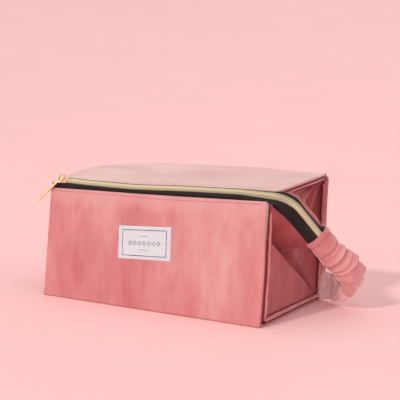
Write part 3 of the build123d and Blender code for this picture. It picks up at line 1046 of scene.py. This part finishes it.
def build_strap():
    line = ((145.0, 54.2, 0), (153.0, 76.6, 0), (161.5, 94.9, 0), (165.5, 110.5, 0), (160.5, 127, 0),
            (147, 137, 3), (133.5, 144, 7), (121.9, 148.5, 10))
    centres = np.array([in_strap(*p) for p in spline(line, 0.42)])
    reach = reach_along(centres)
    tangents = np.gradient(centres, axis=0)
    around = 120
    # Where the sleeve would go into the floor it is flattened, this far above it and this gradually
    floor_gap, softness = 0.4, 0.7
    outer, widths = [], []
    for c, t, s in zip(centres, tangents, reach):
        t = unit(t)
        back = smooth(50, 84, s)
        lean = 0.43 + 0.12 * smooth(0, 25, s) - 0.4 * back
        upright = smooth(70, 104, s)
        width_way = unit(strap_across + np.array((lean, 0, 0)) + np.array((0, -0.6, 0.35)) * upright)
        width_way = unit(width_way - t * (width_way @ t))
        thick_way = np.cross(width_way, t)
        widths.append(width_way)
        half_width = 12.3 + 1.4 * hump(46, 16, s) + 1.0 * back
        half_thick = 5.6 + 4.6 * hump(42, 24, s) + 0.8 * back - 2.6 * upright
        slant = 4.0 * smooth(45, 5, s)
        hem = 0.35 * smooth(5.6, 4.8, s)
        ring = []
        for k in range(around):
            turn = 2 * math.pi * k / around
            u, v = squared(math.cos(turn)), squared(math.sin(turn))
            drawn = gather_depth(s, turn)
            crumple = 1.6 * wobble(turn * 3.0, s * 0.05, 0.8, 55) + 0.5 * wobble(turn * 7, s * 0.09, 0.9, 59)
            crumple *= back
            out = hem - drawn + crumple + 0.35 * wobble(s, turn * 8, 4.5, 57)
            narrow = 2.4 * hump(25, 7, s) * max(u, 0)
            p = c + width_way * (u * (half_width + out - narrow)) + thick_way * (v * (half_thick + out * 0.8))
            p = p + t * (slant * (u - 1) / 2)
            p[2] = floor_gap + np.logaddexp(0, (p[2] - floor_gap) / softness) * softness
            ring.append(p)
        outer.append(ring)
    outer = np.array(outer)
    band = [[c + w * (6 - 12 * k / 8) for k in range(9)] for c, w in list(zip(centres, widths))[30:-2:4]]
    elastic = sheet_object("strap_elastic_band", band, 0.9, elastic_cloth, elastic_cloth)
    elastic = carried(elastic, "base", "elastic", "strap_elastic")
    inner = outer.mean(axis=1, keepdims=True) * 0.1 + outer * 0.9
    rounding = outer[0] * 0.95 + inner[0] * 0.05 - unit(tangents[0]) * 0.5
    rings = list(inner[::-1]) + [rounding] + list(outer)
    points = [p for ring in rings for p in ring]
    faces = grid_faces(len(rings), around, closed=True)
    last = (len(rings) - 1) * around
    faces += [(last + k, last + (k + 1) % around, (k + 1) % around, k) for k in range(around)]
    # Faces past return_start take the paler velvet, a painted highlight.
    first_lit_face = (len(inner) + 1 + int(np.searchsorted(reach, return_start))) * around
    kinds = [int(min(f) >= first_lit_face) for f in faces]
    skin = make_object("strap_sleeve_cloth", points, faces, strap_velvet, lit_return_velvet, face_material=kinds)
    skin = carried(skin, "base", "strap_velvet", "strap_sleeve", "strap_anchor")
    loop = outer[int(np.searchsorted(reach, hem_line))]
    out = loop - loop.mean(axis=0)
    closed = np.vstack([loop, loop[:1]])
    chunks = [stitch_row(closed[k:k + 5], unit(out[k + 2]), 1.7, 0.3, 0.22) for k in range(0, around - 3, 4)]
    carried(make_object("sleeve_hem_stitches", *join(chunks), pink_thread), "base", "strap_velvet")


# Label


def build_label():
    low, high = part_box("woven_label")
    skew = math.radians(2.5)
    upright = unit(front_top - front_foot)[1]
    middle_x = (low.x + high.x) / 2 / MM
    centre_t = front.height - ((low.z + high.z) / 2 / MM - front_foot[1]) / upright
    box_x = (high.x - low.x) / 2 / MM
    box_t = (high.z - low.z) / 2 / MM / upright
    # The turned label's own half sides, from those of the box round it
    half_x = (box_x * math.cos(skew) - box_t * math.sin(skew)) / math.cos(2 * skew)
    half_t = (box_t * math.cos(skew) - box_x * math.sin(skew)) / math.cos(2 * skew)

    def on_label(x, t, lift):
        turned_x = x * math.cos(skew) + t * math.sin(skew)
        turned_t = t * math.cos(skew) - x * math.sin(skew)
        return front.point(middle_x + turned_x, centre_t + turned_t, -lift)

    xs = spread(-half_x, half_x, 0.5, 1.6, 3)
    ts = spread(-half_t, half_t, 0.5, 1.6, 3)

    def face(x, t):
        edge = min(half_x - abs(x), half_t - abs(t))
        lift = 0.45 + 0.3 * smooth(0, 0.8, edge) - 0.25 * hump(2.2, 0.5, half_x - abs(x))
        return on_label(x, t, lift + 0.35 + 0.12 * wobble(x, t, 14, 61))

    rows = [[face(x, t) for x in xs] for t in ts]
    cloth = sheet_object("label_cloth_patch", rows, 0.9, label_cloth, label_cloth)
    cloth = carried(cloth, "front", "label", "woven_label")

    def bar(x0, t0, x1, t1, width):
        start, end = np.array((x0, t0)), np.array((x1, t1))
        way = unit(end - start)
        side = np.array((-way[1], way[0])) * width / 2
        count = max(2, int(np.linalg.norm(end - start) / 2) + 1)
        line = [start + (end - start) * k / (count - 1) for k in range(count)]
        profile = ((-1, 0.95), (-0.6, 1.22), (0, 1.3), (0.6, 1.22), (1, 0.95))
        points = [on_label(*(p + side * s), lift) for p in line for s, lift in profile]
        return points, grid_faces(count, len(profile))

    a, b = half_x - 4.8, half_t - 3.6
    border = ((-a, -b, a, -b), (-a, b, a, b), (-a, -b, -a, b), (a, -b, a, b))
    chunks = [bar(*line, 0.8) for line in border]
    size, level = 1.9, 0.3
    for k in range(-3, 4):
        x = k * 5.2
        corners = ((x - size, level), (x, level - size), (x + size, level), (x, level + size))
        chunks += [bar(*corners[n - 1], *corners[n], 0.6) for n in (1, 2, 3, 0)]
    for count, t in ((1, -6.2), (2, 6.4)):
        chunks += [bar(k * 2.6 - 0.7, t, k * 2.6 + 0.7, t, 0.6) for k in range(-count, count + 1)]
    carried(make_object("label_border_threads", *join(chunks), navy_thread), "front", "label")
    chunks = []
    for x in (-half_x + 1.6, half_x - 1.6):
        path = [on_label(x, t, 0.95) for t in np.arange(-half_t + 0.8, half_t - 0.7, 1.0)]
        chunks.append(stitch_row(path, front.out(), 2.0, 0.8, 0.18))
    carried(make_object("label_stitches", *join(chunks), label_cloth), "front", "label")


# Stage, light and camera


def build_stage():
    """A pale floor that sweeps up far away on every side, painted darker further from the middle."""
    m = Nodes("pale_paper")
    grain = m.noise(3, detail=2)
    colour = m.ramp(grain, (0.3, (0.93, 0.585, 0.57)), (0.7, (0.95, 0.6, 0.585)))
    # Painted shade: the paper is darkened further from the middle, as if less lit there.
    distance = m.add("ShaderNodeVectorMath", operation="LENGTH")
    m.link(m.place, distance.inputs[0])
    fade = m.ramp(m.maths("DIVIDE", distance.outputs["Value"], 8), (0.15, (1, 1, 1)), (1.0, (0.84, 0.84, 0.84)))
    paper = m.finish(m.mix(1.0, colour, fade, "MULTIPLY"), None, 0.95, Specular_IOR_Level=0.0)
    radii = np.concatenate([np.linspace(0, 1.2, 4)[1:], np.linspace(1.2, 8, 24)[1:]])
    around = 72
    angles = np.linspace(0, 2 * math.pi, around, endpoint=False)
    points = [(0, 0, 0)]
    for r in radii:
        z = 1.7 * np.clip((r - 1.2) / 6.8, 0, 1) ** 2
        points += [(r * math.cos(a), r * math.sin(a), z) for a in angles]
    faces = [(0, 1 + k, 1 + (k + 1) % around) for k in range(around)]
    faces += [(a, d, c, b) for a, b, c, d in grid_faces(len(radii), around, 1, closed=True)]
    sweep = make_object("paper_sweep", np.array(points) / MM, faces, paper)
    world = bpy.data.worlds.new("studio")
    bpy.context.scene.world = world
    world.use_nodes = True
    background = world.node_tree.nodes["Background"]
    background.inputs["Color"].default_value = (1, 0.965, 0.96, 1)
    background.inputs["Strength"].default_value = 0.83


def add_lamp(name, kind, power, towards, place=(0, 0, 0), **settings):
    """A lamp. towards is the direction from what it lights to the lamp."""
    data = bpy.data.lights.new(name, kind)
    data.energy = power
    for key, value in settings.items():
        setattr(data, key, value)
    lamp = add_object(name, data)
    lamp.location = place
    lamp.rotation_euler = Vector(towards).to_track_quat("Z", "Y").to_euler()


def build_camera():
    azimuth, elevation, roll = math.radians(31.52), math.radians(8.43), math.radians(0.42)
    distance = 0.79264
    target = Vector((0, 0, 0.06))
    away = Vector((
        math.sin(azimuth) * math.cos(elevation),
        -math.cos(azimuth) * math.cos(elevation),
        math.sin(elevation),
    ))
    data = bpy.data.cameras.new("camera")
    data.sensor_width = 36
    data.lens = 72.6
    data.shift_x, data.shift_y = 0.047, 0.093
    data.clip_start, data.clip_end = 0.01, 50
    camera = add_object("camera", data)
    camera.location = target + away * distance
    look = (-away).to_track_quat("-Z", "Y")
    camera.rotation_euler = (look @ Quaternion((0, 0, 1), roll)).to_euler()
    bpy.context.scene.camera = camera


build_camera()
finish_cad_nodes()
build_walls()
build_folds()
build_zip()
build_gussets()
build_seams()
build_strap()
build_label()
build_stage()
add_lamp("key", "SUN", 1.2, (-0.2, -0.8, 0.57), angle=math.radians(5), color=(1, 0.975, 0.95))
add_lamp("fill", "SUN", 0.14, (0.35, -0.8, 0.4), angle=math.radians(40), color=(1, 0.97, 0.96))
for name, place, target, cone, softness, power in (
    ("side_box", (-1.67, -2.63, 0.45), (-0.05, -0.05, 0.1), 13, 0.5, 60),
    ("strap_lamp", (0.95, -1.75, 0.35), (0.142, 0.04, 0.014), 2.6, 0.05, 70),
):
    towards = Vector(place) - Vector(target)
    size = math.radians(cone)
    add_lamp(name, "SPOT", power, towards, place, spot_size=size, spot_blend=1.0, shadow_soft_size=softness)
bpy.context.scene.view_settings.view_transform = "Standard"
